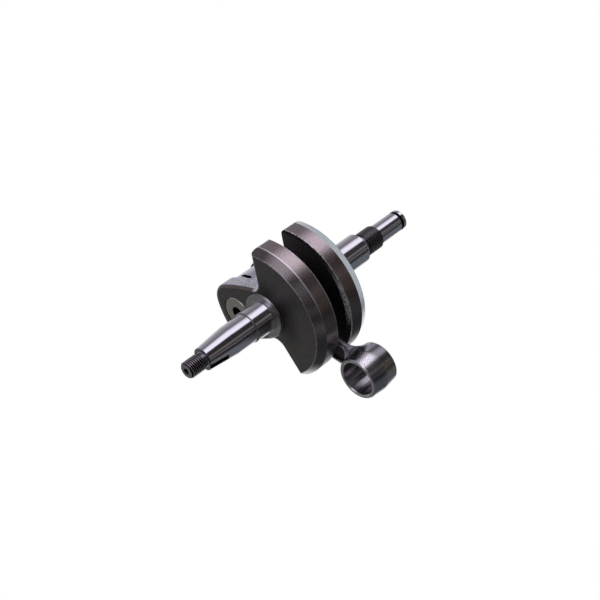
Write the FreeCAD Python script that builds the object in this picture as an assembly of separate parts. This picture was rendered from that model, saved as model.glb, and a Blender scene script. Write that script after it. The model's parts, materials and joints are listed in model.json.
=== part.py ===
import FreeCAD, Part
import math
import os

# Built-up crankshaft with its connecting rod, in millimetres.
# Frame: the origin is on the main axis at the connecting rod's mid-plane. +X runs along the main axis
# towards the clutch end, and +Z is up when the crank rests on a flat table on its counterweights and
# small end. Angles are measured about +X, from +Y towards +Z.

# Layout
THROW = 20.0  # main axis to crankpin axis, half the 40 mm stroke
CRANKPIN_ANGLE = -28.6
ROD_LENGTH = 65.0  # crankpin axis to small-end axis
ROD_ANGLE = 183.6  # direction from the crankpin to the small end at rest

# Webs
COUNTERWEIGHT_INNER_X = 4.2
EAR_INNER_X = 7.6  # the ear's inner face is recessed for the wide big end
EAR_RECESS_RADIUS = 15.6  # about the crankpin axis
EAR_RECESS_START_E = 7.0  # the recess takes in the whole ear beyond this distance from the main axis
WEB_OUTER_X = 15.5
WEB_RADIUS = 33.3
EDGE_BREAK = 0.4
MAGNETO_BEVEL_START_X = 11.5  # a wide bevel runs from here to the outer face
MAGNETO_FACE_RADIUS = 30.6
CLUTCH_BEVEL_START_X = 11.5
CLUTCH_FACE_RADIUS = 31.7
CLUTCH_INNER_BEVEL_WIDTH = 0.5  # along the axis, on the edge facing the rod
CLUTCH_INNER_BEVEL_DEPTH = 1.3  # radially
EAR_END_RADIUS = 33.1  # the ear around the crankpin ends on this radius about the main axis
EAR_HALF_WIDTH = 14.15
EAR_CORNER_RADIUS = 9.5
EAR_EDGE_RADIUS = 1.9
EAR_ROOT_HALF_WIDTH = 12.1
EAR_ROOT_E = -2.05  # where the ear's flank meets the counterweight's chord
CHORD_TIP_E = -7.75  # where the chord meets the rim
ROOT_FILLET = 5.0
UPPER_TIP_FILLET = 2.5
LOWER_TIP_FILLET = 0.8

# Shafts
JOURNAL_RADIUS = 7.5
COLLAR_RADIUS = 10.8
COLLAR_HEIGHT = 1.1
MAGNETO_JOURNAL_END_X = 27.2
SEAL_RADIUS = 6.9
TAPER_START_X = 38.0
TAPER_END_X = 53.1
TAPER_END_RADIUS = 5.4
MAGNETO_THREAD_START_X = 55.3
MAGNETO_END_X = 62.8
MAGNETO_THREAD_RADIUS = 4.0
CLUTCH_JOURNAL_END_X = 48.5
CLUTCH_THREAD_START_X = 51.0
CLUTCH_THREAD_END_X = 60.5
CLUTCH_THREAD_RADIUS = 6.0
STUB_RADIUS = 5.0
CIRCLIP_GROOVE_RADIUS = 4.4
CIRCLIP_GROOVE_START_X = 75.3
CIRCLIP_GROOVE_WIDTH = 1.4
CLUTCH_END_X = 79.2
THREAD_PITCH = 1.0
THREAD_DEPTH = 0.613 * THREAD_PITCH
THREAD_START_STEP = 20  # degrees between the start angles tried for a thread
RELIEF_CLEARANCE = 0.12  # how far a relief lies below its thread's root
SHAFT_CHAMFER = 0.7

# Keyway in the taper, open at the taper's thin end
KEYWAY_WIDTH = 3.0
KEYWAY_LENGTH = 10.5
KEYWAY_DEPTH = 1.7
KEYWAY_ANGLE = -170.0
KEYWAY_CUTTER_RADIUS = 5.0

# Centre holes in the shaft ends
CENTRE_MOUTH_RADIUS = 1.5
CENTRE_PILOT_RADIUS = 0.7
CENTRE_PILOT_DEPTH = 3.0

# Crankpin and big-end bearing
CRANKPIN_RADIUS = 8.0
CRANKPIN_HOLE_RADIUS = 2.85
CRANKPIN_CHAMFER = 0.45
PIN_HOLE_CHAMFER = 0.15
ROLLER_COUNT = 15
ROLLER_RADIUS = 1.49
ROLLER_LENGTH = 10.1
ROLLER_CHAMFER = 0.2
PITCH_RADIUS = 9.5
CAGE_INNER_RADIUS = 8.7
CAGE_OUTER_RADIUS = 10.85
CAGE_WIDTH = 14.2
POCKET_WIDTH = 3.1
POCKET_LENGTH = 10.3

# Connecting rod
BIG_END_RADIUS = 13.8
BIG_END_BORE_RADIUS = 11.01
BIG_END_WIDTH = 15.0
SMALL_END_RADIUS = 10.0  # at its faces
SMALL_END_CROWN = 0.65  # how much larger the forged ring is at the rod's mid-plane
SMALL_END_BORE_RADIUS = 8.0
SMALL_END_WIDTH = 15.3
ROD_EDGE_BREAK = 0.5
SHANK_THICKNESS = 3.2
SHANK_BIG_HALF_HEIGHT = 6.8
SHANK_SMALL_HALF_HEIGHT = 5.9
SHANK_BIG_FILLET = 9.0
SHANK_SMALL_FILLET = 9.0
FLARE_RADIUS = 5.0  # concave blend from the shank's faces to the two ends
RING_PROUD = 0.15  # the machined end rings stand this far proud of the forged blends
SHANK_EDGE_RADIUS = 1.0
POCKET_DEPTH = 0.9
FLANGE_WIDTH = 1.3
POCKET_SLOPE_WIDTH = 1.3  # how far a pocket's walls lean in from its mouth to its floor
POCKET_BIG_CLEARANCE = 2.5  # between a pocket's end and the big end's ring
POCKET_SMALL_CLEARANCE = 0.9  # the same at the small end
OIL_SLOT_WIDTH = 1.9
OIL_SLOT_LENGTH = 6.4
OIL_SLOT_X = 5.0  # from the rod's mid-plane, either way
OIL_SLOT_ANGLE = 111.5  # from the shank's direction, either way


X_AXIS = FreeCAD.Vector(1, 0, 0)
Y_AXIS = FreeCAD.Vector(0, 1, 0)
ORIGIN = FreeCAD.Vector(0, 0, 0)


def point(x, y, z):
    return FreeCAD.Vector(x, y, z)


def turned(profile):
    """A solid turned about the X axis, from (x, radius) corners."""
    corners = [point(x, radius, 0) for x, radius in profile]
    corners.insert(0, point(profile[0][0], 0, 0))
    corners.append(point(profile[-1][0], 0, 0))
    face = Part.Face(Part.makePolygon(corners + corners[:1]))
    return face.revolve(ORIGIN, X_AXIS, 360)


def ring(half_width, outer_radius, inner_radius, edge_break, crown=0.0):
    """A ring about the X axis, centred on x = 0, with chamfered edges. crown makes it larger at x = 0."""
    profile = [(-half_width, outer_radius - edge_break), (-half_width + edge_break, outer_radius)]
    if crown:
        profile.append((0, outer_radius + crown))
    profile += [(half_width - edge_break, outer_radius), (half_width, outer_radius - edge_break)]
    return turned(profile).cut(turned(bore_profile(half_width, inner_radius, edge_break)))


def bore_profile(half_width, radius, edge_break):
    """Corners of a bore's void, with a chamfer at both mouths."""
    return [
        (-half_width - edge_break, radius + 2 * edge_break),
        (-half_width + edge_break, radius),
        (half_width - edge_break, radius),
        (half_width + edge_break, radius + 2 * edge_break),
    ]


def along_x(face, start_x, end_x):
    """A flat face in the plane x = 0, moved to start_x and extruded to end_x."""
    moved = face.copy()
    moved.translate(point(start_x, 0, 0))
    return moved.extrude(point(end_x - start_x, 0, 0))


def turn(shape, angle):
    turned_shape = shape.copy()
    turned_shape.rotate(ORIGIN, X_AXIS, angle)
    return turned_shape


def edges_along_x_near(shape, y, z, reach):
    """The edges parallel to X that pass within reach of the point (y, z)."""
    found = []
    for edge in shape.Edges:
        start, end = edge.Vertexes[0].Point, edge.Vertexes[-1].Point
        straight = abs(start.y - end.y) < 1e-6 and abs(start.z - end.z) < 1e-6
        if straight and math.hypot(start.y - y, start.z - z) < reach:
            found.append(edge)
    return found


def thread_groove(radius, start_x, end_x):
    """The helical void of an external thread about the X axis, from start_x to end_x."""
    crest_half = 0.4375 * THREAD_PITCH
    over = 0.1 * THREAD_PITCH
    slope = math.tan(math.radians(30))
    root_half = crest_half - THREAD_DEPTH * slope
    outer_half = crest_half + over * slope
    helix = Part.makeHelix(THREAD_PITCH, end_x - start_x, radius)
    corners = [
        point(radius + over, 0, -outer_half),
        point(radius - THREAD_DEPTH, 0, -root_half),
        point(radius - THREAD_DEPTH, 0, root_half),
        point(radius + over, 0, outer_half),
    ]
    section = Part.makePolygon(corners + corners[:1])
    groove = Part.Wire(helix.Edges).makePipeShell([section], True, True)
    groove.rotate(ORIGIN, Y_AXIS, 90)
    groove.translate(point(start_x, 0, 0))
    return groove


def threaded(shaft, radius, start_x, end_x):
    """The shaft with a thread cut between start_x and end_x.

    The cut fails silently where the groove's seam meets the shaft's, so start angles are tried until the
    removed volume is right.
    """
    groove = thread_groove(radius, start_x - THREAD_PITCH, end_x + THREAD_PITCH)
    section_area = (0.875 * THREAD_PITCH - THREAD_DEPTH * math.tan(math.radians(30))) * THREAD_DEPTH
    turns = (end_x - start_x) / THREAD_PITCH
    expected = section_area * 2 * math.pi * (radius - 0.4 * THREAD_DEPTH) * turns
    for angle in range(0, 360, THREAD_START_STEP):
        candidate = shaft.cut(turn(groove, angle))
        removed = shaft.Volume - candidate.Volume
        if candidate.isValid() and len(candidate.Solids) == 1 and abs(removed / expected - 1) < 0.12:
            return candidate
    raise RuntimeError("the thread could not be cut")


def centre_hole(end_x, direction):
    """The void of a 60 degree centre hole in a shaft end. direction is +1 at the +X end, -1 at the other."""
    cone_depth = (CENTRE_MOUTH_RADIUS - CENTRE_PILOT_RADIUS) / math.tan(math.radians(30))
    return turned([
        (end_x, CENTRE_MOUTH_RADIUS),
        (end_x - direction * cone_depth, CENTRE_PILOT_RADIUS),
        (end_x - direction * (cone_depth + CENTRE_PILOT_DEPTH), CENTRE_PILOT_RADIUS),
    ])


def web_outline():
    """A web's outline in the plane x = 0, with the crankpin towards +Y. It is symmetric about the Y axis."""
    corner_z = EAR_HALF_WIDTH - EAR_CORNER_RADIUS
    corner_y = math.sqrt((EAR_END_RADIUS - EAR_CORNER_RADIUS) ** 2 - corner_z ** 2)
    corner_angle = math.atan2(corner_z, corner_y)
    corner_mid_angle = (corner_angle + math.pi / 2) / 2
    tip_z = math.sqrt(WEB_RADIUS ** 2 - CHORD_TIP_E ** 2)
    flank_mid_y = (corner_y + EAR_ROOT_E) / 2
    flank_mid_z = EAR_HALF_WIDTH - 0.3
    edges = []
    for side in (1, -1):
        ear_end_z = side * EAR_END_RADIUS * math.sin(corner_angle)
        ear_end = point(0, EAR_END_RADIUS * math.cos(corner_angle), ear_end_z)
        corner_mid = point(
            0,
            corner_y + EAR_CORNER_RADIUS * math.cos(corner_mid_angle),
            side * (corner_z + EAR_CORNER_RADIUS * math.sin(corner_mid_angle)),
        )
        flank_start = point(0, corner_y, side * EAR_HALF_WIDTH)
        flank_mid = point(0, flank_mid_y, side * flank_mid_z)
        root = point(0, EAR_ROOT_E, side * EAR_ROOT_HALF_WIDTH)
        tip = point(0, CHORD_TIP_E, side * tip_z)
        edges.append(Part.Arc(ear_end, corner_mid, flank_start).toShape())
        edges.append(Part.Arc(flank_start, flank_mid, root).toShape())
        edges.append(Part.LineSegment(root, tip).toShape())
        if side == 1:
            upper_ear_end, upper_tip = ear_end, tip
    edges.append(Part.Arc(upper_ear_end, point(0, EAR_END_RADIUS, 0), ear_end).toShape())
    edges.append(Part.Arc(upper_tip, point(0, -WEB_RADIUS, 0), tip).toShape())
    return Part.Face(Part.Wire(Part.__sortEdges__(edges))), tip_z


def web(side, inner_bevel_width, inner_bevel_depth, bevel_start_x, face_radius):
    """One web with its ear and counterweight. side is -1 for the magneto side and +1 for the clutch side."""
    outline, tip_z = web_outline()
    body = along_x(outline, side * COUNTERWEIGHT_INNER_X, side * WEB_OUTER_X)
    for z_sign, tip_fillet in ((1, UPPER_TIP_FILLET), (-1, LOWER_TIP_FILLET)):
        root_edges = edges_along_x_near(body, EAR_ROOT_E, z_sign * EAR_ROOT_HALF_WIDTH, 0.5)
        body = body.makeFillet(ROOT_FILLET, root_edges)
        tip_edges = edges_along_x_near(body, CHORD_TIP_E, z_sign * tip_z, 0.5)
        body = body.makeFillet(tip_fillet, tip_edges)
    body = body.makeFillet(EAR_EDGE_RADIUS, ear_edges(body, side * WEB_OUTER_X))
    envelope = turned([
        (side * COUNTERWEIGHT_INNER_X, WEB_RADIUS - inner_bevel_depth),
        (side * (COUNTERWEIGHT_INNER_X + inner_bevel_width), WEB_RADIUS),
        (side * bevel_start_x, WEB_RADIUS),
        (side * WEB_OUTER_X, face_radius),
    ])
    ear_side = Part.makeBox(2 * WEB_OUTER_X, 2 * WEB_RADIUS, 2 * WEB_RADIUS)
    ear_side.translate(point(-WEB_OUTER_X, 0, -WEB_RADIUS))
    return body.common(envelope.fuse(ear_side))


def ear_edges(body, face_x):
    """The outer face's edges around the ear, from one root fillet round to the other."""
    found = []
    for edge in body.Edges:
        on_face = all(abs(vertex.Point.x - face_x) < 1e-6 for vertex in edge.Vertexes)
        middle = edge.valueAt((edge.FirstParameter + edge.LastParameter) / 2)
        beyond_root = middle.y > EAR_ROOT_E - ROOT_FILLET
        if on_face and beyond_root and not is_chord(edge):
            found.append(edge)
    return found


def is_chord(edge):
    return isinstance(edge.Curve, (Part.Line, Part.LineSegment))


def crankpin_hole():
    """The void for the crankpin, with a small chamfer at the two outer faces."""
    hole = turned([
        (-WEB_OUTER_X - 1, CRANKPIN_RADIUS + PIN_HOLE_CHAMFER + 1),
        (-WEB_OUTER_X + PIN_HOLE_CHAMFER, CRANKPIN_RADIUS),
        (WEB_OUTER_X - PIN_HOLE_CHAMFER, CRANKPIN_RADIUS),
        (WEB_OUTER_X + 1, CRANKPIN_RADIUS + PIN_HOLE_CHAMFER + 1),
    ])
    hole.translate(point(0, THROW, 0))
    return hole


def big_end_recess():
    """The void that thins both ears: a disc about the crankpin, joined to everything beyond it."""
    disc = turned([(-EAR_INNER_X, EAR_RECESS_RADIUS), (EAR_INNER_X, EAR_RECESS_RADIUS)])
    disc.translate(point(0, THROW, 0))
    beyond = Part.makeBox(2 * EAR_INNER_X, 2 * WEB_RADIUS, 2 * WEB_RADIUS)
    beyond.translate(point(-EAR_INNER_X, EAR_RECESS_START_E, -WEB_RADIUS))
    return disc.fuse(beyond)


def magneto_shaft():
    """Collar, journal, seal land, taper, relief and thread, from the web's outer face towards -X."""
    relief_radius = MAGNETO_THREAD_RADIUS - THREAD_DEPTH - RELIEF_CLEARANCE
    collar_x = WEB_OUTER_X + COLLAR_HEIGHT
    profile = [
        (-WEB_OUTER_X + 1, COLLAR_RADIUS),
        (-collar_x + 0.2, COLLAR_RADIUS),
        (-collar_x, COLLAR_RADIUS - 0.2),
        (-collar_x, JOURNAL_RADIUS + 0.4),
        (-collar_x - 0.4, JOURNAL_RADIUS),
        (-MAGNETO_JOURNAL_END_X + 0.5, JOURNAL_RADIUS),
        (-MAGNETO_JOURNAL_END_X, SEAL_RADIUS),
        (-TAPER_START_X, SEAL_RADIUS),
        (-TAPER_END_X, TAPER_END_RADIUS),
        (-TAPER_END_X, relief_radius + 0.3),
        (-TAPER_END_X - 0.3, relief_radius),
        (-MAGNETO_THREAD_START_X + 0.4, relief_radius),
        (-MAGNETO_THREAD_START_X, MAGNETO_THREAD_RADIUS),
        (-MAGNETO_END_X + SHAFT_CHAMFER, MAGNETO_THREAD_RADIUS),
        (-MAGNETO_END_X, MAGNETO_THREAD_RADIUS - SHAFT_CHAMFER),
    ]
    shaft = turned(profile).cut(centre_hole(-MAGNETO_END_X, -1))
    return threaded(shaft, MAGNETO_THREAD_RADIUS, -MAGNETO_END_X, -MAGNETO_THREAD_START_X)


def keyway():
    """The void of the keyway. Its closed end rises on the cutter's radius."""
    floor_radius = (TAPER_END_RADIUS + SEAL_RADIUS) / 2 - KEYWAY_DEPTH
    closed_x = -TAPER_END_X + KEYWAY_LENGTH
    top = SEAL_RADIUS + 1
    rise_y = floor_radius + KEYWAY_CUTTER_RADIUS
    run = math.sqrt(KEYWAY_CUTTER_RADIUS ** 2 - (rise_y - top) ** 2)
    curve_start_x = closed_x - run
    bend = math.radians(25)
    curve_mid = point(
        curve_start_x + KEYWAY_CUTTER_RADIUS * math.sin(bend),
        rise_y - KEYWAY_CUTTER_RADIUS * math.cos(bend),
        0,
    )
    open_x = -TAPER_END_X - 1
    floor_start, floor_end = point(open_x, floor_radius, 0), point(curve_start_x, floor_radius, 0)
    closed_top, open_top = point(closed_x, top, 0), point(open_x, top, 0)
    edges = [
        Part.LineSegment(open_top, floor_start).toShape(),
        Part.LineSegment(floor_start, floor_end).toShape(),
        Part.Arc(floor_end, curve_mid, closed_top).toShape(),
        Part.LineSegment(closed_top, open_top).toShape(),
    ]
    face = Part.Face(Part.Wire(edges))
    face.translate(point(0, 0, -KEYWAY_WIDTH / 2))
    slot = face.extrude(point(0, 0, KEYWAY_WIDTH))
    return turn(slot, KEYWAY_ANGLE)


def clutch_shaft():
    """Collar, journal, relief, thread and grooved stub, from the web's outer face towards +X."""
    relief_radius = CLUTCH_THREAD_RADIUS - THREAD_DEPTH - RELIEF_CLEARANCE
    collar_x = WEB_OUTER_X + COLLAR_HEIGHT
    groove_end_x = CIRCLIP_GROOVE_START_X + CIRCLIP_GROOVE_WIDTH
    profile = [
        (WEB_OUTER_X - 1, COLLAR_RADIUS),
        (collar_x - 0.2, COLLAR_RADIUS),
        (collar_x, COLLAR_RADIUS - 0.2),
        (collar_x, JOURNAL_RADIUS + 0.4),
        (collar_x + 0.4, JOURNAL_RADIUS),
        (CLUTCH_JOURNAL_END_X - SHAFT_CHAMFER, JOURNAL_RADIUS),
        (CLUTCH_JOURNAL_END_X, JOURNAL_RADIUS - SHAFT_CHAMFER),
        (CLUTCH_JOURNAL_END_X, relief_radius + 0.4),
        (CLUTCH_JOURNAL_END_X + 0.4, relief_radius),
        (CLUTCH_THREAD_START_X - 0.4, relief_radius),
        (CLUTCH_THREAD_START_X, CLUTCH_THREAD_RADIUS),
        (CLUTCH_THREAD_END_X - SHAFT_CHAMFER, CLUTCH_THREAD_RADIUS),
        (CLUTCH_THREAD_END_X, CLUTCH_THREAD_RADIUS - SHAFT_CHAMFER),
        (CLUTCH_THREAD_END_X, STUB_RADIUS),
        (CIRCLIP_GROOVE_START_X, STUB_RADIUS),
        (CIRCLIP_GROOVE_START_X, CIRCLIP_GROOVE_RADIUS),
        (groove_end_x, CIRCLIP_GROOVE_RADIUS),
        (groove_end_x, STUB_RADIUS),
        (CLUTCH_END_X - SHAFT_CHAMFER, STUB_RADIUS),
        (CLUTCH_END_X, STUB_RADIUS - SHAFT_CHAMFER),
    ]
    shaft = turned(profile).cut(centre_hole(CLUTCH_END_X, 1))
    return threaded(shaft, CLUTCH_THREAD_RADIUS, CLUTCH_THREAD_START_X, CLUTCH_THREAD_END_X)


def magneto_half_crank():
    half = web(-1, EDGE_BREAK, EDGE_BREAK, MAGNETO_BEVEL_START_X, MAGNETO_FACE_RADIUS)
    half = turn(half.cut([crankpin_hole(), big_end_recess()]), CRANKPIN_ANGLE)
    return half.fuse(magneto_shaft().cut(keyway())).removeSplitter()


def clutch_half_crank():
    half = web(
        1, CLUTCH_INNER_BEVEL_WIDTH, CLUTCH_INNER_BEVEL_DEPTH, CLUTCH_BEVEL_START_X, CLUTCH_FACE_RADIUS
    )
    half = turn(half.cut([crankpin_hole(), big_end_recess()]), CRANKPIN_ANGLE)
    return half.fuse(clutch_shaft()).removeSplitter()


def crankpin():
    pin = turned([
        (-WEB_OUTER_X, CRANKPIN_RADIUS - CRANKPIN_CHAMFER),
        (-WEB_OUTER_X + CRANKPIN_CHAMFER, CRANKPIN_RADIUS),
        (WEB_OUTER_X - CRANKPIN_CHAMFER, CRANKPIN_RADIUS),
        (WEB_OUTER_X, CRANKPIN_RADIUS - CRANKPIN_CHAMFER),
    ])
    pin = pin.cut(turned(bore_profile(WEB_OUTER_X, CRANKPIN_HOLE_RADIUS, 0.25)))
    return on_crankpin(pin, 0)


def on_crankpin(shape, angle):
    """A shape modelled about the X axis, turned by angle and moved to the crankpin's axis."""
    moved = turn(shape, angle)
    pin_angle = math.radians(CRANKPIN_ANGLE)
    moved.translate(point(0, THROW * math.cos(pin_angle), THROW * math.sin(pin_angle)))
    return moved


def rod_flare(centre_y, ring_radius, half_width):
    """A disc about an end of the rod that thins from the end's width to the shank's on a concave arc."""
    thin = SHANK_THICKNESS / 2
    widest = min(half_width, thin + FLARE_RADIUS)
    arc_centre_x = thin + FLARE_RADIUS
    outer_radius = ring_radius + FLARE_RADIUS
    bend = math.acos((arc_centre_x - widest) / FLARE_RADIUS)
    inner_radius = outer_radius - FLARE_RADIUS * math.sin(bend)
    mid_x = arc_centre_x - FLARE_RADIUS * math.cos(bend / 2)
    mid_radius = outer_radius - FLARE_RADIUS * math.sin(bend / 2)
    edges = [
        Part.LineSegment(point(-widest, 0, 0), point(-widest, inner_radius, 0)).toShape(),
        Part.Arc(
            point(-widest, inner_radius, 0), point(-mid_x, mid_radius, 0), point(-thin, outer_radius, 0)
        ).toShape(),
        Part.LineSegment(point(-thin, outer_radius, 0), point(thin, outer_radius, 0)).toShape(),
        Part.Arc(
            point(thin, outer_radius, 0), point(mid_x, mid_radius, 0), point(widest, inner_radius, 0)
        ).toShape(),
        Part.LineSegment(point(widest, inner_radius, 0), point(widest, 0, 0)).toShape(),
        Part.LineSegment(point(widest, 0, 0), point(-widest, 0, 0)).toShape(),
    ]
    disc = Part.Face(Part.Wire(edges)).revolve(ORIGIN, X_AXIS, 360)
    disc.translate(point(0, centre_y, 0))
    return disc


def connecting_rod():
    """The rod, modelled with its big end on the X axis and its shank towards +Y, then placed at rest."""
    full = SMALL_END_WIDTH
    corners = [
        point(0, 0, SHANK_BIG_HALF_HEIGHT),
        point(0, ROD_LENGTH, SHANK_SMALL_HALF_HEIGHT),
        point(0, ROD_LENGTH, -SHANK_SMALL_HALF_HEIGHT),
        point(0, 0, -SHANK_BIG_HALF_HEIGHT),
    ]
    shank = along_x(Part.Face(Part.makePolygon(corners + corners[:1])), -full / 2, full / 2)
    big_blend_radius = BIG_END_RADIUS - RING_PROUD
    small_blend_radius = SMALL_END_RADIUS - RING_PROUD
    big_disc = turned([(-full / 2, big_blend_radius), (full / 2, big_blend_radius)])
    small_disc = turned([(-full / 2, small_blend_radius), (full / 2, small_blend_radius)])
    small_disc.translate(point(0, ROD_LENGTH, 0))
    prism = shank.fuse([big_disc, small_disc]).removeSplitter()
    for centre_y, radius, fillet in (
        (0, big_blend_radius, SHANK_BIG_FILLET),
        (ROD_LENGTH, small_blend_radius, SHANK_SMALL_FILLET),
    ):
        inner_corners = [
            edge
            for edge in prism.Edges
            if is_inner_corner(edge, centre_y, radius)
        ]
        prism = prism.makeFillet(fillet, inner_corners)
    slab = Part.makeBox(SHANK_THICKNESS, 4 * ROD_LENGTH, 4 * ROD_LENGTH)
    slab.translate(point(-SHANK_THICKNESS / 2, -2 * ROD_LENGTH, -2 * ROD_LENGTH))
    allowed = slab.fuse([
        rod_flare(0, big_blend_radius, BIG_END_WIDTH / 2),
        rod_flare(ROD_LENGTH, small_blend_radius, SMALL_END_WIDTH / 2),
    ])
    rod = prism.common(allowed)
    rod = rod.makeFillet(SHANK_EDGE_RADIUS, shank_edges(rod))
    big_ring = ring(BIG_END_WIDTH / 2, BIG_END_RADIUS, BIG_END_BORE_RADIUS, ROD_EDGE_BREAK)
    small_ring = ring(
        SMALL_END_WIDTH / 2, SMALL_END_RADIUS, SMALL_END_BORE_RADIUS, ROD_EDGE_BREAK, SMALL_END_CROWN
    )
    small_ring.translate(point(0, ROD_LENGTH, 0))
    big_core = turned([(-full, BIG_END_RADIUS - 1), (full, BIG_END_RADIUS - 1)])
    small_core = turned([(-full, SMALL_END_RADIUS - 1), (full, SMALL_END_RADIUS - 1)])
    small_core.translate(point(0, ROD_LENGTH, 0))
    rod = rod.cut([big_core, small_core])
    rod = rod.fuse([big_ring, small_ring]).removeSplitter()
    rod = rod.cut(shank_pockets() + oil_slots())
    return on_crankpin(rod, ROD_ANGLE)


def shank_edges(rod):
    """The edges along the shank and its flares, where their faces meet the rod's upper and lower sides."""
    found = []
    for edge in rod.Edges:
        middle = edge.valueAt((edge.FirstParameter + edge.LastParameter) / 2)
        beyond_big_end = math.hypot(middle.y, middle.z) > BIG_END_RADIUS + 0.05
        beyond_small_end = math.hypot(middle.y - ROD_LENGTH, middle.z) > SMALL_END_RADIUS + 0.05
        if beyond_big_end and beyond_small_end and abs(middle.z) > SHANK_SMALL_HALF_HEIGHT:
            found.append(edge)
    return found


def is_inner_corner(edge, centre_y, radius):
    """Whether an edge is a full-width corner where the shank meets an end of the given radius."""
    start, end = edge.Vertexes[0].Point, edge.Vertexes[-1].Point
    runs_along_x = abs(start.y - end.y) < 1e-6 and abs(start.z - end.z) < 1e-6
    on_ring = abs(math.hypot(start.y - centre_y, start.z) - radius) < 1e-3
    return runs_along_x and on_ring and SHANK_SMALL_HALF_HEIGHT - 1 < abs(start.z) < SHANK_BIG_HALF_HEIGHT + 1


def pocket_outline(inset):
    """A pocket's outline in the plane x = 0, drawn in by inset from its mouth."""
    start_y = BIG_END_RADIUS + POCKET_BIG_CLEARANCE + inset
    end_y = ROD_LENGTH - SMALL_END_RADIUS - POCKET_SMALL_CLEARANCE - inset
    taper = (SHANK_BIG_HALF_HEIGHT - SHANK_SMALL_HALF_HEIGHT) / ROD_LENGTH
    start_z = SHANK_BIG_HALF_HEIGHT - taper * start_y - FLANGE_WIDTH - inset
    end_z = SHANK_SMALL_HALF_HEIGHT + taper * (ROD_LENGTH - end_y) - FLANGE_WIDTH - inset
    round_y = end_y - end_z
    return Part.Wire([
        Part.LineSegment(point(0, start_y, start_z), point(0, round_y, end_z)).toShape(),
        Part.Arc(point(0, round_y, end_z), point(0, end_y, 0), point(0, round_y, -end_z)).toShape(),
        Part.LineSegment(point(0, round_y, -end_z), point(0, start_y, -start_z)).toShape(),
        Part.Arc(point(0, start_y, -start_z), point(0, start_y - 1, 0), point(0, start_y, start_z)).toShape(),
    ])


def shank_pockets():
    """The round-ended void on each side of the shank that leaves its two flanges. Its walls slope."""
    floor_x = SHANK_THICKNESS / 2 - POCKET_DEPTH
    voids = []
    for side in (1, -1):
        floor = pocket_outline(POCKET_SLOPE_WIDTH)
        floor.translate(point(side * floor_x, 0, 0))
        mouth = pocket_outline(0)
        mouth.translate(point(side * SHANK_THICKNESS / 2, 0, 0))
        sloped = Part.makeLoft([floor, mouth], True, True)
        straight = along_x(Part.Face(pocket_outline(0)), side * SHANK_THICKNESS / 2, side * SMALL_END_WIDTH)
        voids.append(sloped.fuse(straight))
    return voids


def oil_slots():
    """The voids of the big end's oil slots. They run round the ring and pass through its wall."""
    end_radius = OIL_SLOT_WIDTH / 2
    straight = OIL_SLOT_LENGTH / 2 - end_radius
    edges = []
    for sign in (1, -1):
        side_start = point(sign * end_radius, 0, -sign * straight)
        side_end = point(sign * end_radius, 0, sign * straight)
        tip = point(0, 0, sign * (straight + end_radius))
        edges.append(Part.LineSegment(side_start, side_end).toShape())
        edges.append(Part.Arc(side_end, tip, point(-sign * end_radius, 0, sign * straight)).toShape())
    face = Part.Face(Part.Wire(edges))
    voids = []
    for x in (OIL_SLOT_X, -OIL_SLOT_X):
        start = face.copy()
        start.translate(point(x, BIG_END_BORE_RADIUS / 2, 0))
        slot = start.extrude(point(0, BIG_END_RADIUS, 0))
        for angle in (OIL_SLOT_ANGLE, -OIL_SLOT_ANGLE):
            voids.append(turn(slot, angle))
    return voids


def big_end_needle_cage():
    cage = ring(CAGE_WIDTH / 2, CAGE_OUTER_RADIUS, CAGE_INNER_RADIUS, 0.2)
    pockets = []
    for index in range(ROLLER_COUNT):
        pocket = Part.makeBox(POCKET_LENGTH, CAGE_OUTER_RADIUS, POCKET_WIDTH)
        pocket.translate(point(-POCKET_LENGTH / 2, CRANKPIN_RADIUS, -POCKET_WIDTH / 2))
        pockets.append(turn(pocket, index * 360 / ROLLER_COUNT))
    return on_crankpin(cage.cut(pockets), 0)


def big_end_roller(index):
    half = ROLLER_LENGTH / 2
    roller = turned([
        (-half, ROLLER_RADIUS - ROLLER_CHAMFER),
        (-half + ROLLER_CHAMFER, ROLLER_RADIUS),
        (half - ROLLER_CHAMFER, ROLLER_RADIUS),
        (half, ROLLER_RADIUS - ROLLER_CHAMFER),
    ])
    roller.translate(point(0, PITCH_RADIUS, 0))
    return on_crankpin(roller, index * 360 / ROLLER_COUNT)


def all_nodes():
    nodes = {
        "magneto_half_crank": magneto_half_crank(),
        "clutch_half_crank": clutch_half_crank(),
        "crankpin": crankpin(),
        "connecting_rod": connecting_rod(),
        "big_end_needle_cage": big_end_needle_cage(),
    }
    for index in range(ROLLER_COUNT):
        nodes[f"big_end_roller_{index + 1:02d}"] = big_end_roller(index)
    return nodes


os.makedirs("parts", exist_ok=True)
for name, shape in all_nodes().items():
    solids = shape.Solids
    if len(solids) != 1 or not solids[0].isValid():
        raise RuntimeError(f"{name} is {len(solids)} solids, valid: {shape.isValid()}")
    solids[0].exportStep(f"parts/{name}.step")
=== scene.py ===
import json
import math

import bpy
from mathutils import Matrix, Vector


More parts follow.
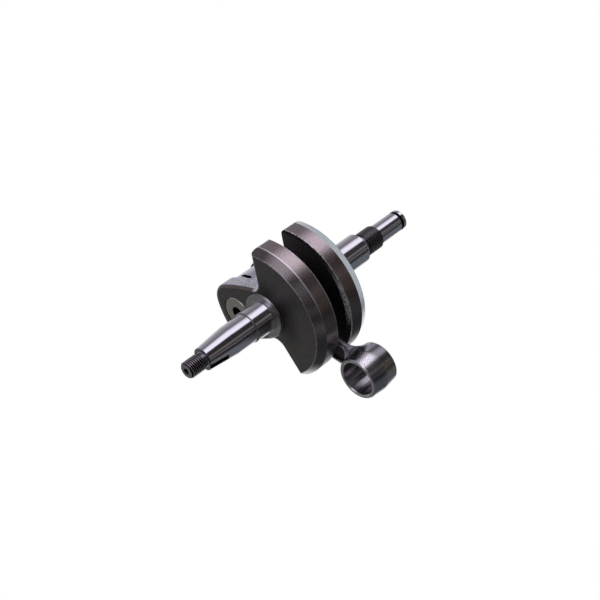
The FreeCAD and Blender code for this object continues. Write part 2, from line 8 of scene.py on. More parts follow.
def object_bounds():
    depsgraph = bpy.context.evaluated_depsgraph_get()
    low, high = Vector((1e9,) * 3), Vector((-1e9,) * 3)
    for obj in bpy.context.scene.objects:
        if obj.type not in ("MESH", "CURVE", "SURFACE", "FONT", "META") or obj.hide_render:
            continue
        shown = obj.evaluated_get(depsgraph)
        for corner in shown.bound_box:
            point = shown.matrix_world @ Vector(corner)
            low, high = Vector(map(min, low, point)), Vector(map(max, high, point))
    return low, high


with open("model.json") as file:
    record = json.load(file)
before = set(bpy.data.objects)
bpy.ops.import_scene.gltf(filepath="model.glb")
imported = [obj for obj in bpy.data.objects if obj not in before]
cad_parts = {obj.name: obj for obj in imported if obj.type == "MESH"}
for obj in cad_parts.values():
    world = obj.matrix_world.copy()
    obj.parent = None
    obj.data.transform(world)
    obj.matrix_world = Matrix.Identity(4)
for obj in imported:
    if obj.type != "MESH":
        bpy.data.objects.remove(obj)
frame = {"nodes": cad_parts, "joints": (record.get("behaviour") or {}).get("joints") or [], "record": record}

# The looks of a small engine's crankshaft. The scene is in metres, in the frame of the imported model: +X runs
# along the crank's main axis towards the clutch end. The pieces are the CAD's own solids. Their materials
# work in millimetres from the CAD's coordinates, so one piece can change its finish from zone to zone.

CAD_LOW, CAD_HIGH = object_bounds()

# Millimetres. Sizes named _X are distances from the rod's mid-plane along the main axis, on either side.
WEB_INNER_X = 4.2
BEVEL_START_X = 11.5
WEB_OUTER_X = 15.5
WEB_RADIUS = 33.3
MAGNETO_FACE_RADIUS = 30.6
CLUTCH_FACE_RADIUS = 31.7
CLUTCH_INNER_BEVEL_WIDTH = 0.5
COLLAR_RADIUS = 10.8
COLLAR_STEP_X = 16.8
SEAL_STEP_X = 26.95
JOURNAL_RADIUS = 7.5
SEAL_RADIUS = 6.9
TAPER_START_X = 38.0
TAPER_END_X = 53.1
TAPER_END_RADIUS = 5.4
MAGNETO_THREAD_START_X = 55.0
MAGNETO_THREAD_RADIUS = 4.0
MAGNETO_END_X = 62.8
CLUTCH_JOURNAL_END_X = 48.5
CLUTCH_THREAD_START_X = 50.7
CLUTCH_THREAD_END_X = 60.5
CLUTCH_THREAD_RADIUS = 6.0
CLIP_GROOVE_START_X = 75.3
CLIP_GROOVE_END_X = 76.7
CRANKPIN_RADIUS = 8.0
CRANKPIN_HOLE_RADIUS = 2.85
BIG_END_RADIUS = 13.8
BIG_END_BORE_RADIUS = 11.01
SMALL_END_CROWN_RADIUS = 10.65
SMALL_END_DRAFT = 0.085  # fall of the ring's radius for each millimetre from the rod's mid-plane
SMALL_END_BORE_RADIUS = 8.0

MOUNTS = {mount["name"]: mount for mount in frame["record"]["mounts"]}
JOINTS = {joint["name"]: joint for joint in frame["joints"]}
CRANKPIN_CENTRE = 1000 * Vector(JOINTS["rod_swing"]["pos_m"])
SMALL_END_CENTRE = 1000 * Vector(MOUNTS["small_end_bore"]["pos_m"])

FRONT = Vector((-0.57, -0.50, 0.66)).normalized()  # a soft patch of light over the camera's side
FLOOR_HALF_SIZE = 3.0


# ---------------------------------------------------------------------------------------------- node helpers

def add(tree, kind, inputs=None, **settings):
    """A new node. An input is given by name or index, as a value or as another node's output socket."""
    node = tree.nodes.new(kind)
    for name, value in settings.items():
        setattr(node, name, value)
    for key, value in (inputs or {}).items():
        if isinstance(value, bpy.types.NodeSocket):
            tree.links.new(value, node.inputs[key])
        else:
            node.inputs[key].default_value = value
    return node


def calc(tree, operation, *values):
    """The result of a Math node."""
    return add(tree, "ShaderNodeMath", dict(enumerate(values)), operation=operation).outputs[0]


def dot(tree, a, b):
    node = add(tree, "ShaderNodeVectorMath", {0: a, 1: b}, operation="DOT_PRODUCT")
    return node.outputs["Value"]


def ramp(tree, value, low, high):
    """0 below low, 1 above high, smooth between. low may be the larger, which turns it round."""
    limits = {"Value": value, "From Min": low, "From Max": high, "To Min": 0.0, "To Max": 1.0}
    return add(tree, "ShaderNodeMapRange", limits, interpolation_type="SMOOTHSTEP").outputs["Result"]


def band(tree, value, low_start, low_full, high_full, high_end):
    """1 between low_full and high_full, falling smoothly to 0 at low_start and high_end."""
    rise = ramp(tree, value, low_start, low_full)
    return calc(tree, "MULTIPLY", rise, ramp(tree, value, high_end, high_full))


def mix_colour(tree, factor, a, b):
    return add(tree, "ShaderNodeMix", {0: factor, 6: a, 7: b}, data_type="RGBA").outputs[2]


def mix_value(tree, factor, a, b):
    return add(tree, "ShaderNodeMix", {0: factor, 2: a, 3: b}, data_type="FLOAT").outputs[0]


def noise(tree, vector, scale, detail=3.0, roughness=0.5):
    settings = {"Vector": vector, "Scale": scale, "Detail": detail, "Roughness": roughness}
    return add(tree, "ShaderNodeTexNoise", settings).outputs["Fac"]


def stretched(tree, vector, factors):
    return add(tree, "ShaderNodeVectorMath", {0: vector, 1: factors}, operation="MULTIPLY").outputs[0]


def rgb(red, green, blue):
    return (red, green, blue, 1.0)


def turned_round(tree, direction):
    return add(tree, "ShaderNodeVectorMath", {0: direction, "Scale": -1.0}, operation="SCALE").outputs[0]


# ---------------------------------------------------------------------------------------------- studio

def studio_group():
    """Light by direction, for the world and for what reflections see in the floor.

    The shafts and rims all run along X, so the lights are long strips along X, set by their angle about it.
    """
    group = bpy.data.node_groups.new("studio", "ShaderNodeTree")
    group.interface.new_socket("Direction", in_out="INPUT", socket_type="NodeSocketVector")
    group.interface.new_socket("Color", in_out="OUTPUT", socket_type="NodeSocketColor")
    source = group.nodes.new("NodeGroupInput").outputs[0]
    direction = add(group, "ShaderNodeVectorMath", {0: source}, operation="NORMALIZE").outputs[0]
    along_x, along_y, height = add(group, "ShaderNodeSeparateXYZ", {0: direction}).outputs
    angle = calc(group, "MULTIPLY", calc(group, "ARCTAN2", height, along_y), math.degrees(1))
    backdrop = mix_colour(group, ramp(group, angle, -35, 34), rgb(0.66, 0.65, 0.69), rgb(0.24, 0.23, 0.26))
    strips = [
        (band(group, angle, -172, -165, -112, -104), rgb(0.12, 0.13, 0.15)),
        (band(group, angle, -106, -80, -56, -46), rgb(0.88, 0.88, 0.90)),
        (band(group, angle, -62, -50, 42, 50), backdrop),
        (band(group, angle, 45, 75, 96, 105), rgb(1.05, 0.99, 1.13)),
        (band(group, angle, 136, 138, 149, 155), rgb(0.135, 0.12, 0.128)),
        (band(group, angle, 160, 162, 169, 172), rgb(0.127, 0.123, 0.128)),
        (ramp(group, along_x, 0.80, 0.90), rgb(0.42, 0.44, 0.48)),
    ]
    colour = rgb(0.026, 0.021, 0.022)
    for mask, light in strips:
        colour = mix_colour(group, mask, colour, light)
    front = ramp(group, dot(group, direction, FRONT), 0.978, 0.994)
    colour = mix_colour(group, front, colour, rgb(0.34, 0.34, 0.36))
    low_left = calc(group, "MULTIPLY", ramp(group, along_x, -0.25, -0.45), ramp(group, height, -0.05, -0.30))
    colour = mix_colour(group, low_left, colour, rgb(0.17, 0.165, 0.15))
    output = group.nodes.new("NodeGroupOutput")
    group.links.new(colour, output.inputs[0])
    return group


def studio_light(tree, group, direction):
    node = tree.nodes.new("ShaderNodeGroup")
    node.node_tree = group
    tree.links.new(direction, node.inputs[0])
    return node.outputs[0]


def make_world(group):
    world = bpy.data.worlds.new("studio")
    bpy.context.scene.world = world
    world.use_nodes = True
    tree = world.node_tree
    tree.nodes.clear()
    direction = add(tree, "ShaderNodeTexCoord").outputs["Generated"]
    seen = add(tree, "ShaderNodeLightPath").outputs["Is Camera Ray"]
    colour = mix_colour(tree, seen, studio_light(tree, group, direction), rgb(1, 1, 1))
    background = add(tree, "ShaderNodeBackground", {"Color": colour})
    add(tree, "ShaderNodeOutputWorld", {"Surface": background.outputs[0]})


def make_floor(group):
    """A pale floor. The camera sees the white world through it, so a piece that swings below it shows."""
    mesh = bpy.data.meshes.new("floor")
    half = FLOOR_HALF_SIZE
    corners = [(-half, -half), (half, -half), (half, half), (-half, half)]
    mesh.from_pydata([(x, y, CAD_LOW.z) for x, y in corners], [], [(0, 1, 2, 3)])
    floor = bpy.data.objects.new("floor", mesh)
    bpy.context.scene.collection.objects.link(floor)
    material = bpy.data.materials.new("pale_floor")
    material.use_nodes = True
    tree = material.node_tree
    tree.nodes.clear()
    away = turned_round(tree, add(tree, "ShaderNodeNewGeometry").outputs["Incoming"])
    reflected = add(tree, "ShaderNodeEmission", {"Color": studio_light(tree, group, away)}).outputs[0]
    shown = add(tree, "ShaderNodeBsdfTransparent").outputs[0]
    seen = add(tree, "ShaderNodeLightPath").outputs["Is Camera Ray"]
    surface = add(tree, "ShaderNodeMixShader", {0: seen, 1: reflected, 2: shown}).outputs[0]
    add(tree, "ShaderNodeOutputMaterial", {"Surface": surface})
    mesh.materials.append(material)


def make_camera():
    forward = Vector((0.5502, 0.5054, -0.6648)).normalized()
    right = Vector((0.6765, -0.7364, 0)).normalized()
    up = right.cross(forward)
    data = bpy.data.cameras.new("camera")
    data.lens = 65.49
    data.sensor_width = 36
    data.clip_start = 0.01
    camera = bpy.data.objects.new("camera", data)
    matrix = Matrix((right, up, -forward)).transposed().to_4x4()
    matrix.translation = Vector((-0.26687, -0.25196, 0.32536))
    camera.matrix_world = matrix
    bpy.context.scene.collection.objects.link(camera)
    bpy.context.scene.camera = camera


# ---------------------------------------------------------------------------------------------- finishes

class Surface:
    """One material under construction: millimetre coordinates, and a finish that zones are painted over."""

    def __init__(self, name):
        self.material = bpy.data.materials.new(name)
        self.material.use_nodes = True
        self.tree = self.material.node_tree
        self.tree.nodes.clear()
        coordinates = add(self.tree, "ShaderNodeTexCoord")
        scaled = {0: coordinates.outputs["Object"], "Scale": 1000.0}
        self.position = add(self.tree, "ShaderNodeVectorMath", scaled, operation="SCALE").outputs[0]
        normal_x = add(self.tree, "ShaderNodeSeparateXYZ", {0: coordinates.outputs["Normal"]}).outputs[0]
        parts = add(self.tree, "ShaderNodeSeparateXYZ", {0: self.position})
        self.x, self.y, self.z = parts.outputs
        self.off_axis = self.calc("ABSOLUTE", self.x)
        self.facing_x = self.calc("ABSOLUTE", normal_x)
        self.colour = None
        self.roughness = None
        self.height = None
        self.brushed = 0.0

    def calc(self, operation, *values):
        return calc(self.tree, operation, *values)

    def times(self, value, factor):
        return self.calc("MULTIPLY", value, factor)

    def mixed(self, factor, a, b):
        return mix_colour(self.tree, factor, a, b)

    def ramp(self, value, low, high):
        return ramp(self.tree, value, low, high)

    def band(self, value, low, high, soft=0.05):
        return band(self.tree, value, low - soft, low, high, high + soft)

    def noise(self, scale, detail=3.0, roughness=0.5, stretch=None):
        vector = stretched(self.tree, self.position, stretch) if stretch else self.position
        return noise(self.tree, vector, scale, detail, roughness)

    def all_of(self, *masks):
        """1 where every mask is 1."""
        result = masks[0]
        for mask in masks[1:]:
            result = self.calc("MULTIPLY", result, mask)
        return result

    def radius_about(self, centre):
        """Distance from the axis parallel to X through centre."""
        dy = self.calc("SUBTRACT", self.y, centre[1])
        dz = self.calc("SUBTRACT", self.z, centre[2])
        squares = self.calc("ADD", self.calc("MULTIPLY", dy, dy), self.calc("MULTIPLY", dz, dz))
        return self.calc("SQRT", squares)

    def along(self, direction):
        """Distance from the main axis along a direction across it."""
        unit = Vector((0, direction[1], direction[2])).normalized()
        return dot(self.tree, self.position, tuple(unit))

    def varied(self, colour, amount, scale, detail=4.0):
        """The colour, made lighter and darker by noise."""
        share = self.ramp(self.noise(scale, detail, 0.6), 0.25, 0.75)
        factor = mix_value(self.tree, share, 1 - amount, 1 + amount)
        unscaled = colour if isinstance(colour, bpy.types.NodeSocket) else colour[:3]
        scale_node = {0: unscaled, "Scale": factor}
        return add(self.tree, "ShaderNodeVectorMath", scale_node, operation="SCALE").outputs[0]

    def graded(self, value, steps):
        """A colour that passes smoothly from each step's to the next as the value grows."""
        colour = steps[0][1]
        for (low, _), (high, next_colour) in zip(steps, steps[1:]):
            colour = mix_colour(self.tree, self.ramp(value, low, high), colour, next_colour)
        return colour

    def paint(self, mask, colour, roughness, height, brushed=0.0):
        """Lays a finish over what is there, where the mask is 1. height is in micrometres of relief.

        brushed is 1 for a surface ground round the X axis, which blurs its reflections along X only.
        """
        if self.colour is None:
            self.colour, self.roughness, self.height = colour, roughness, height
            return
        self.brushed = mix_value(self.tree, mask, self.brushed, brushed)
        self.colour = mix_colour(self.tree, mask, self.colour, colour)
        self.roughness = mix_value(self.tree, mask, self.roughness, roughness)
        self.height = mix_value(self.tree, mask, self.height, height)

    def edge_mask(self, radius_mm):
        """1 near the edges, and the surface's direction with those edges rounded."""
        rounded = add(self.tree, "ShaderNodeBevel", {"Radius": radius_mm / 1000}, samples=6).outputs[0]
        true_normal = add(self.tree, "ShaderNodeNewGeometry").outputs["Normal"]
        return self.ramp(dot(self.tree, rounded, true_normal), 0.995, 0.90), rounded

    def finish(self, worn, worn_radius, worn_colour, lets_light_by=None):
        """Wears the edges where worn is 1, rounds them all, and closes the material.

        Where lets_light_by is 1, reflections that look upwards see the studio and not this surface.
        """
        mask, rounded = self.edge_mask(worn_radius)
        mask = self.all_of(mask, worn)
        self.colour = mix_colour(self.tree, mask, self.colour, worn_colour)
        self.roughness = mix_value(self.tree, mask, self.roughness, 0.3)
        bump = {"Height": self.height, "Distance": 1e-6, "Strength": 1.0, "Normal": rounded}
        normal = add(self.tree, "ShaderNodeBump", bump).outputs[0]
        shader = {
            "Base Color": self.colour,
            "Roughness": self.roughness,
            "Metallic": 1.0,
            "Normal": normal,
            "Anisotropic": self.brushed,
            "Tangent": add(self.tree, "ShaderNodeCombineXYZ", {0: 1.0, 1: 0.02, 2: 0.01}).outputs[0],
        }
        principled = add(self.tree, "ShaderNodeBsdfPrincipled", shader)
        surface = principled.outputs[0]
        if lets_light_by is not None:
            away = turned_round(self.tree, add(self.tree, "ShaderNodeNewGeometry").outputs["Incoming"])
            away_height = add(self.tree, "ShaderNodeSeparateXYZ", {0: away}).outputs["Z"]
            upwards = self.ramp(away_height, 0.1, 0.35)
            reflection = add(self.tree, "ShaderNodeLightPath").outputs["Is Glossy Ray"]
            light_colour = studio_light(self.tree, studio, away)
            light = add(self.tree, "ShaderNodeEmission", {"Color": light_colour}).outputs[0]
            share = self.all_of(lets_light_by, upwards, reflection)
            surface = add(self.tree, "ShaderNodeMixShader", {0: share, 1: surface, 2: light}).outputs[0]
        add(self.tree, "ShaderNodeOutputMaterial", {"Surface": surface})
        return self.material


def crank_finish(name, is_clutch_half):
    """A half crank: dark turned web with a forged ear, ground shaft and blackened thread. Painted shade,
    painted reflections and painted highlights lie on its faces, rim, edges, holes and thread.
    """
    s = Surface(name)
    s.radius = s.radius_about((0, 0, 0))
    s.flat = s.ramp(s.facing_x, 0.90, 0.97)
    s.sloped = s.ramp(s.facing_x, 0.25, 0.35)
    s.grain = s.noise(1.6, 6, 0.7)
    s.fine = s.noise(4.0, 3, 0.6)
    s.on_ear = s.ramp(s.along(CRANKPIN_CENTRE), 1.0, 3.0)
    paint_forging(s)
    paint_faces(s)
    paint_rim(s, is_clutch_half)
    paint_rubbed_edge_highlights(s, is_clutch_half)
    paint_shaft(s)
    if is_clutch_half:
        paint_clutch_end(s)
    else:
        paint_magneto_end(s)
    beside_pin = s.ramp(s.radius_about(CRANKPIN_CENTRE), CRANKPIN_RADIUS + 0.2, CRANKPIN_RADIUS + 0.12)
    s.paint(beside_pin, rgb(0.02, 0.02, 0.02), 0.6, s.times(s.fine, 4.0))
    outer_face = s.all_of(s.flat, s.ramp(s.off_axis, WEB_OUTER_X - 0.1, WEB_OUTER_X - 0.05))
    return s.finish(s.ramp(s.radius, 28.0, 30.0), 0.30, rgb(0.92, 0.90, 0.92), lets_light_by=outer_face)


def paint_forging(s):
    """Bright grainy skin, which stays on the flanks, and the ear's darker rounded edge."""
    skin = s.varied(rgb(0.78, 0.78, 0.85), 0.50, 1.2, 6.0)
    s.paint(None, skin, 0.38, s.times(s.grain, 150.0))
    ear_edge = s.all_of(s.sloped, s.on_ear)
    s.paint(ear_edge, s.varied(rgb(0.20, 0.17, 0.16), 0.25, 0.8), 0.42, s.times(s.grain, 40.0))


def paint_faces(s):
    """The turned outer face with painted shade above the shaft, and the face towards the rod in painted shade.
    """
    streaks = s.noise(0.5, 3, 0.6, stretch=(1.0, 1.0, 0.12))
    colour = s.varied(rgb(0.115, 0.112, 0.108), 0.35, 1.6, 6.0)
    colour = s.mixed(s.ramp(streaks, 0.62, 0.80), colour, rgb(0.17, 0.165, 0.16))
    # Painted shade above the shaft, where the shaft keeps light off the face.
    shade_above_shaft = s.all_of(s.ramp(s.radius, 24.0, 12.0), s.ramp(s.calc("SUBTRACT", s.z, s.y), 0.0, 16.0))
    colour = s.mixed(shade_above_shaft, colour, rgb(0.045, 0.042, 0.040))
    s.paint(s.flat, colour, 0.50, s.times(s.fine, 8.0))
    # Painted shade: the face towards the rod is painted darker than the outer face, darkest at the bottom.
    inner_face = s.all_of(s.flat, s.ramp(s.off_axis, 9.0, 8.0))
    inner_face_shade = s.graded(s.z, [(8, rgb(0.035, 0.030, 0.032)), (30, rgb(0.085, 0.075, 0.07))])
    s.paint(inner_face, s.varied(inner_face_shade, 0.4, 1.5), 0.6, s.times(s.fine, 12.0))


def paint_rim(s, is_clutch_half):
    """The web's rim and the wide bevel beside it, pale on the clutch half. The rim, and the magneto half's
    bevel, carry painted reflections: tone that changes with height.
    """
    # Painted reflections: lighter low down and high up, darker in between.
    rim_painted_reflection = s.graded(s.z, [
        (-22, rgb(0.46, 0.47, 0.51)),
        (-15, rgb(0.16, 0.145, 0.14)),
        (1, rgb(0.10, 0.088, 0.086)),
        (8, rgb(0.19, 0.17, 0.16)),
        (17, rgb(0.37, 0.32, 0.28)),
        (28, rgb(0.52, 0.44, 0.42)),
        (32, rgb(0.52, 0.455, 0.455)),
    ])
    rim = s.ramp(s.radius, WEB_RADIUS - 0.12, WEB_RADIUS - 0.04)
    s.paint(rim, s.varied(rim_painted_reflection, 0.30, 2.2), 0.28, s.times(s.grain, 12.0))
    bevel_tone_and_painted_reflection = rgb(0.88, 0.94, 0.95) if is_clutch_half else s.graded(s.z, [
        (-22, rgb(0.44, 0.46, 0.49)),
        (-15, rgb(0.20, 0.19, 0.19)),
        (3, rgb(0.13, 0.12, 0.12)),
        (14, rgb(0.42, 0.38, 0.38)),
        (26, rgb(0.25, 0.225, 0.225)),
    ])
    bevel = s.all_of(
        s.sloped,
        s.ramp(s.facing_x, 0.95, 0.90),
        s.ramp(s.radius, MAGNETO_FACE_RADIUS - 0.2, MAGNETO_FACE_RADIUS),
        s.ramp(s.off_axis, BEVEL_START_X - 0.2, BEVEL_START_X),
        s.calc("SUBTRACT", 1.0, s.on_ear),
    )
    turning = s.noise(3.0, 4, 0.6, stretch=(3.0, 0.3, 0.3))
    s.paint(bevel, s.varied(bevel_tone_and_painted_reflection, 0.25, 2.2), 0.24, s.times(turning, 3.0))


def paint_rubbed_edge_highlights(s, is_clutch_half):
    """Thin bright lines on the edges of the face and rim, rubbed edges with painted highlights, and the clutch
    half's rough inner bevel.
    """
    at_rim = s.ramp(s.radius, WEB_RADIUS - 0.6, WEB_RADIUS - 0.4)
    chipped = s.ramp(s.noise(1.1, 3, 0.8), 0.40, 0.60)
    painted_highlight = rgb(1.0, 0.98, 1.0)
    if is_clutch_half:
        paint_rough_bevel(s)
        face_radius = CLUTCH_FACE_RADIUS
        inner_edge_x = WEB_INNER_X + CLUTCH_INNER_BEVEL_WIDTH
        inner_edge_highlight = s.all_of(at_rim, s.band(s.off_axis, inner_edge_x - 0.10, inner_edge_x + 0.25), chipped)
    else:
        bevel_edge = s.band(s.off_axis, BEVEL_START_X - 0.20, BEVEL_START_X + 0.15, 0.15)
        # Painted highlight along the bevel's edge, kept to its upper part.
        upper_bevel_highlight = s.all_of(at_rim, bevel_edge, s.ramp(s.z, 10.0, 24.0))
        s.paint(upper_bevel_highlight, painted_highlight, 0.42, s.times(s.fine, 4.0))
        face_radius = MAGNETO_FACE_RADIUS
        inner_edge_highlight = s.all_of(at_rim, s.band(s.off_axis, WEB_INNER_X, WEB_INNER_X + 0.55), chipped)
    # Painted highlights along the rubbed edges of the face and the inner rim.
    face_edge_highlight = s.all_of(
        s.band(s.radius, face_radius - 0.10, face_radius + 0.20),
        chipped,
        s.ramp(s.off_axis, WEB_OUTER_X - 0.5, WEB_OUTER_X - 0.3),
        s.ramp(s.off_axis, WEB_OUTER_X + 0.1, WEB_OUTER_X + 0.02),
    )
    s.paint(face_edge_highlight, rgb(0.42, 0.40, 0.41), 0.42, s.times(s.fine, 4.0))
    s.paint(inner_edge_highlight, painted_highlight, 0.42, s.times(s.grain, 60.0))


def paint_rough_bevel(s):
    """A ragged rough band round the edge towards the rod, narrowest at the top, with painted glints lower
    down.
    """
    ragged_radius = s.calc("ADD", s.radius, s.times(s.noise(0.9, 3, 0.7), 1.6))
    narrowing = s.graded(s.z, [(14, rgb(0, 0, 0)), (26, rgb(1, 1, 1))])
    near_edge = s.ramp(s.calc("SUBTRACT", ragged_radius, narrowing), 31.2, 31.5)
    bevel_end_x = WEB_INNER_X + CLUTCH_INNER_BEVEL_WIDTH
    rough = s.all_of(s.ramp(s.off_axis, bevel_end_x + 0.04, bevel_end_x - 0.02), s.sloped, near_edge)
    # Painted glints: white specks in a band of height.
    painted_glints = s.all_of(s.ramp(s.noise(2.0, 4, 0.8), 0.46, 0.54), s.band(s.z, 8.0, 18.0, 10.0))
    colour = s.mixed(painted_glints, rgb(0.05, 0.045, 0.04), rgb(1.0, 1.0, 1.0))
    s.paint(rough, colour, 0.85, s.times(s.grain, 250.0))


def paint_shaft(s):
    """The collar with its turned rings, and the ground shaft with its dull ends and darker bands at its steps.
    """
    beyond_web = s.ramp(s.off_axis, WEB_OUTER_X + 0.02, WEB_OUTER_X + 0.08)
    collar = s.all_of(beyond_web, s.ramp(s.radius, COLLAR_RADIUS + 0.2, COLLAR_RADIUS + 0.1))
    rings = s.calc("SINE", s.times(s.radius, 7.0))
    ring_colour = s.mixed(s.ramp(rings, -0.6, 0.6), rgb(0.30, 0.30, 0.31), rgb(0.44, 0.43, 0.45))
    s.paint(collar, ring_colour, 0.32, s.times(rings, 5.0))
    within_journal = s.ramp(s.radius, JOURNAL_RADIUS + 0.25, JOURNAL_RADIUS + 0.1)
    on_shaft = s.all_of(s.ramp(s.off_axis, WEB_OUTER_X + 0.3, WEB_OUTER_X + 0.5), within_journal)
    grinding = s.noise(2.2, 3, 0.6, stretch=(6.0, 0.2, 0.2))
    steel = s.mixed(s.ramp(grinding, 0.3, 0.7), rgb(0.79, 0.78, 0.81), rgb(0.86, 0.85, 0.88))
    s.paint(on_shaft, steel, 0.17, s.times(grinding, 0.4), brushed=1.0)
    s.paint(s.all_of(s.flat, on_shaft), rgb(0.25, 0.25, 0.26), 0.4, s.times(s.fine, 4.0))
    near_end = s.ramp(s.off_axis, 55.0, 56.0)
    # Painted shade: the centre hole's walls are painted near black.
    centre_hole_shade = s.all_of(s.ramp(s.radius, 2.0, 1.9), near_end, s.ramp(s.facing_x, 0.90, 0.85))
    s.paint(centre_hole_shade, rgb(0.03, 0.03, 0.03), 0.5, s.times(s.fine, 4.0))
    collar_step = s.band(s.off_axis, COLLAR_STEP_X - 0.15, COLLAR_STEP_X + 0.15)
    seal_step = s.band(s.off_axis, SEAL_STEP_X - 0.2, SEAL_STEP_X + 0.2)
    at_journal = s.all_of(
        s.ramp(s.radius, JOURNAL_RADIUS + 0.7, JOURNAL_RADIUS + 0.5),
        s.ramp(s.radius, SEAL_RADIUS - 0.05, SEAL_RADIUS + 0.05),
    )
    steps = s.all_of(s.calc("MAXIMUM", collar_step, seal_step), at_journal)
    s.paint(steps, rgb(0.22, 0.21, 0.22), 0.35, s.times(s.fine, 4.0))


def paint_clutch_end(s):
    thread_end_x = CLUTCH_THREAD_END_X - 0.05
    crest_wear_and_highlight = rgb(0.28, 0.26, 0.27)
    relief_start_x = CLUTCH_JOURNAL_END_X
    paint_thread(s, relief_start_x, CLUTCH_THREAD_START_X, thread_end_x, CLUTCH_THREAD_RADIUS, crest_wear_and_highlight)
    # Painted shade: the clip groove and its rims are painted black.
    clip_groove_shade = s.band(s.x, CLIP_GROOVE_START_X - 0.15, CLIP_GROOVE_END_X + 0.15)
    s.paint(clip_groove_shade, rgb(0.02, 0.02, 0.022), 0.5, s.times(s.fine, 4.0))


def paint_magneto_end(s):
    thread_end_x = MAGNETO_END_X - 0.08
    crest_wear_and_highlight = rgb(0.44, 0.40, 0.44)
    relief_start_x = TAPER_END_X + 0.1
    paint_thread(s, relief_start_x, MAGNETO_THREAD_START_X, thread_end_x, MAGNETO_THREAD_RADIUS, crest_wear_and_highlight)
    slope = (SEAL_RADIUS - TAPER_END_RADIUS) / (TAPER_END_X - TAPER_START_X)
    shrinkage = s.times(s.calc("SUBTRACT", s.off_axis, TAPER_START_X), slope)
    taper_radius = s.calc("SUBTRACT", SEAL_RADIUS, shrinkage)
    sunk = s.ramp(s.calc("SUBTRACT", taper_radius, s.radius), 0.12, 0.22)
    # Painted shade: the sunk keyway is painted near black.
    keyway_shade = s.all_of(sunk, s.band(s.x, -TAPER_END_X + 0.1, -TAPER_START_X - 2))
    s.paint(keyway_shade, rgb(0.03, 0.03, 0.034), 0.5, s.times(s.fine, 6.0))


def paint_thread(s, relief_start_x, start_x, end_x, crest_radius, crest_wear_and_highlight):
    """A dull relief, then a thread painted black, a blackened finish with painted shade in its roots, and its
    crests painted lighter, rubbed wear with painted highlights.
    """
    s.paint(s.band(s.off_axis, relief_start_x, end_x), rgb(0.22, 0.23, 0.26), 0.30, s.times(s.fine, 4.0))
    thread = s.band(s.off_axis, start_x, end_x)
    # Blackened finish and painted shade in the thread's roots.
    s.paint(thread, rgb(0.008, 0.008, 0.009), 0.40, s.times(s.fine, 4.0))
    # Crests painted lighter: rubbed wear and painted highlights.
    crest = s.all_of(thread, s.ramp(s.radius, crest_radius - 0.40, crest_radius - 0.24))
    s.paint(crest, crest_wear_and_highlight, 0.34, s.times(s.fine, 4.0), brushed=0.5)


def pin_finish():
    """The crankpin: ground, with turned ends and painted shade in the hole through it."""
    s = Surface("ground_pin")
    radius = s.radius_about(CRANKPIN_CENTRE)
    end = s.ramp(s.facing_x, 0.9, 0.97)
    fine = s.noise(3.0, 3, 0.6)
    grinding = s.noise(2.0, 3, 0.6, stretch=(6.0, 0.2, 0.2))
    s.paint(None, rgb(0.72, 0.71, 0.74), 0.30, s.times(grinding, 0.5))
    s.paint(end, s.varied(rgb(0.42, 0.39, 0.36), 0.15, 0.9), 0.45, s.times(fine, 8.0))
    # Painted shade: the hole through the pin is painted near black.
    hole_shade = s.ramp(radius, CRANKPIN_HOLE_RADIUS + 0.45, CRANKPIN_HOLE_RADIUS + 0.3)
    s.paint(hole_shade, rgb(0.015, 0.015, 0.015), 0.6, s.times(fine, 8.0))
    return s.finish(s.ramp(radius, 7.0, 7.3), 0.2, rgb(0.45, 0.44, 0.46))


def rod_finish():
    """The rod: speckled forging with painted shade in its pockets and oil slots, and ground ends."""
    s = Surface("forged_rod")
    s.big = s.radius_about(CRANKPIN_CENTRE)
    s.small = s.radius_about(SMALL_END_CENTRE)
    s.speckle = s.noise(2.4, 5, 0.75)
    pits = s.ramp(s.noise(1.4, 6, 0.9), 0.38, 0.56)
    forged = s.varied(rgb(0.78, 0.74, 0.84), 0.35, 1.1)
    forged = s.mixed(pits, rgb(0.20, 0.19, 0.21), forged)
    s.paint(None, forged, 0.38, s.times(s.speckle, 90.0))
    between_ends = s.all_of(s.ramp(s.big, 15.5, 17.0), s.ramp(s.small, 12.0, 13.5))
    # Painted shade in the shank's pockets.
    pocket_shade = s.all_of(between_ends, s.ramp(s.off_axis, 1.5, 1.2), s.ramp(s.facing_x, 0.15, 0.30))
    s.paint(pocket_shade, rgb(0.05, 0.046, 0.046), 0.5, s.times(s.speckle, 30.0))
    big_ring = s.ramp(s.big, BIG_END_RADIUS + 0.1, BIG_END_RADIUS + 0.03)
    s.paint(big_ring, s.varied(rgb(0.90, 0.89, 0.95), 0.12, 1.4), 0.28, s.times(s.speckle, 14.0))
    below_surface = s.ramp(s.big, BIG_END_RADIUS - 0.08, BIG_END_RADIUS - 0.14)
    # Painted shade: the oil slots are painted black.
    oil_slot_shade = s.all_of(below_surface, s.ramp(s.off_axis, 7.3, 7.1))
    s.paint(oil_slot_shade, rgb(0.012, 0.012, 0.012), 0.6, s.times(s.speckle, 4.0))
    paint_small_end(s)
    big_bore = s.ramp(s.big, BIG_END_BORE_RADIUS + 0.07, BIG_END_BORE_RADIUS + 0.03)
    s.paint(big_bore, rgb(0.5, 0.5, 0.52), 0.2, s.times(s.speckle, 1.0))
    near_rings = s.calc("MAXIMUM", s.ramp(s.big, 15.0, 14.0), s.ramp(s.small, 10.9, 10.3))
    return s.finish(near_rings, 0.25, rgb(0.78, 0.76, 0.80))


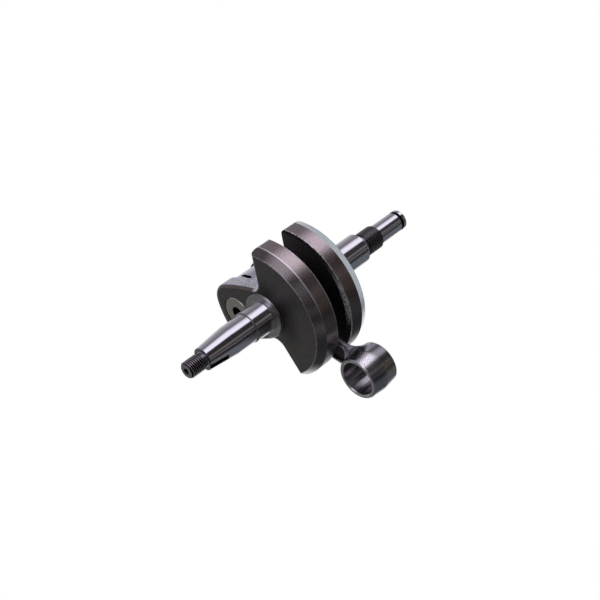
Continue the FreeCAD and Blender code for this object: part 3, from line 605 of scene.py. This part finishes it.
def paint_small_end(s):
    """Its outside has a painted highlight towards the magneto end, and painted light and shade that change
    with height towards the other end, with stains.
    """
    inside_crown = s.calc("SUBTRACT", s.small, SMALL_END_CROWN_RADIUS)
    above_ring = s.calc("ADD", inside_crown, s.times(s.off_axis, SMALL_END_DRAFT))
    ring = s.ramp(above_ring, 0.20, 0.08)
    past_centre = s.calc("SUBTRACT", s.y, SMALL_END_CENTRE[1])
    # Painted highlight on the side towards the magneto end.
    painted_highlight = s.graded(past_centre, [
        (-8.0, rgb(0.42, 0.40, 0.43)),
        (-5.0, rgb(1.0, 0.97, 1.0)),
    ])
    # Painted light and shade by height on the other side, then stains over it.
    far_side_light_and_stains = s.graded(past_centre, [
        (-8.0, rgb(0.60, 0.58, 0.57)),
        (-5.0, rgb(0.28, 0.27, 0.29)),
        (0.5, rgb(0.28, 0.27, 0.29)),
        (2.0, rgb(0.85, 0.83, 0.88)),
    ])
    stains = s.all_of(s.ramp(s.noise(0.28, 4, 0.6), 0.48, 0.60), s.ramp(past_centre, -4.5, -6.0))
    far_side_light_and_stains = s.mixed(stains, far_side_light_and_stains, rgb(0.62, 0.56, 0.42))
    ring_colour = s.mixed(s.ramp(s.x, -2.5, 2.0), painted_highlight, far_side_light_and_stains)
    freckles = s.ramp(s.noise(1.5, 6, 0.9), 0.40, 0.52)
    ring_colour = s.mixed(freckles, rgb(0.30, 0.29, 0.31), ring_colour)
    s.paint(ring, ring_colour, 0.24, s.times(s.speckle, 22.0))
    end_faces = s.all_of(s.ramp(s.facing_x, 0.90, 0.97), ring)
    s.paint(end_faces, s.varied(rgb(0.50, 0.48, 0.52), 0.15, 1.0), 0.34, s.times(s.speckle, 6.0))
    streaks = s.noise(0.9, 3, 0.6, stretch=(0.08, 1.0, 1.0))
    bore_colour = s.mixed(s.ramp(streaks, 0.35, 0.65), rgb(0.18, 0.17, 0.18), rgb(0.48, 0.46, 0.48))
    bore = s.ramp(s.small, SMALL_END_BORE_RADIUS + 0.35, SMALL_END_BORE_RADIUS + 0.2)
    s.paint(bore, bore_colour, 0.25, s.times(streaks, 3.0))


def cage_finish():
    """Brownish steel, rubbed bright at the cage's two ends."""
    s = Surface("needle_cage_steel")
    mottle = s.ramp(s.noise(1.2, 4, 0.6), 0.3, 0.7)
    colour = s.mixed(mottle, rgb(0.40, 0.33, 0.20), rgb(0.55, 0.47, 0.30))
    s.paint(None, colour, 0.3, s.times(s.noise(4.0, 3, 0.6), 3.0))
    return s.finish(s.ramp(s.off_axis, 5.0, 6.0), 0.15, rgb(0.7, 0.62, 0.45))


def roller_finish():
    """Bright polished steel with faint lines round each roller."""
    s = Surface("polished_roller_steel")
    fine = s.noise(6.0, 3, 0.6, stretch=(5.0, 0.5, 0.5))
    colour = s.mixed(s.ramp(fine, 0.3, 0.7), rgb(0.66, 0.66, 0.68), rgb(0.74, 0.74, 0.76))
    s.paint(None, colour, 0.09, s.times(fine, 0.4))
    return s.finish(s.ramp(s.off_axis, 4.6, 4.9), 0.1, rgb(0.8, 0.8, 0.82))


def dress(node_name, material):
    """Gives a CAD node its material, and shades its curved faces smooth without touching its mesh."""
    piece = frame["nodes"][node_name]
    piece.data.materials.clear()
    piece.data.materials.append(material)
    smooth = piece.modifiers.new("smooth_shading", "NODES")
    smooth.node_group = smooth_group


def make_smooth_group():
    group = bpy.data.node_groups.new("smooth_shading", "GeometryNodeTree")
    group.interface.new_socket("Geometry", in_out="INPUT", socket_type="NodeSocketGeometry")
    group.interface.new_socket("Geometry", in_out="OUTPUT", socket_type="NodeSocketGeometry")
    source = group.nodes.new("NodeGroupInput")
    smooth = group.nodes.new("GeometryNodeSetShadeSmooth")
    output = group.nodes.new("NodeGroupOutput")
    group.links.new(source.outputs[0], smooth.inputs["Geometry"])
    group.links.new(smooth.outputs[0], output.inputs[0])
    return group


smooth_group = make_smooth_group()
studio = studio_group()
make_world(studio)
make_floor(studio)
make_camera()

dress("magneto_half_crank", crank_finish("magneto_half_steel", is_clutch_half=False))
dress("clutch_half_crank", crank_finish("clutch_half_steel", is_clutch_half=True))
dress("crankpin", pin_finish())
dress("connecting_rod", rod_finish())
dress("big_end_needle_cage", cage_finish())
roller_steel = roller_finish()
for node_name in frame["nodes"]:
    if node_name.startswith("big_end_roller_"):
        dress(node_name, roller_steel)

bpy.context.scene.view_settings.view_transform = "Standard"
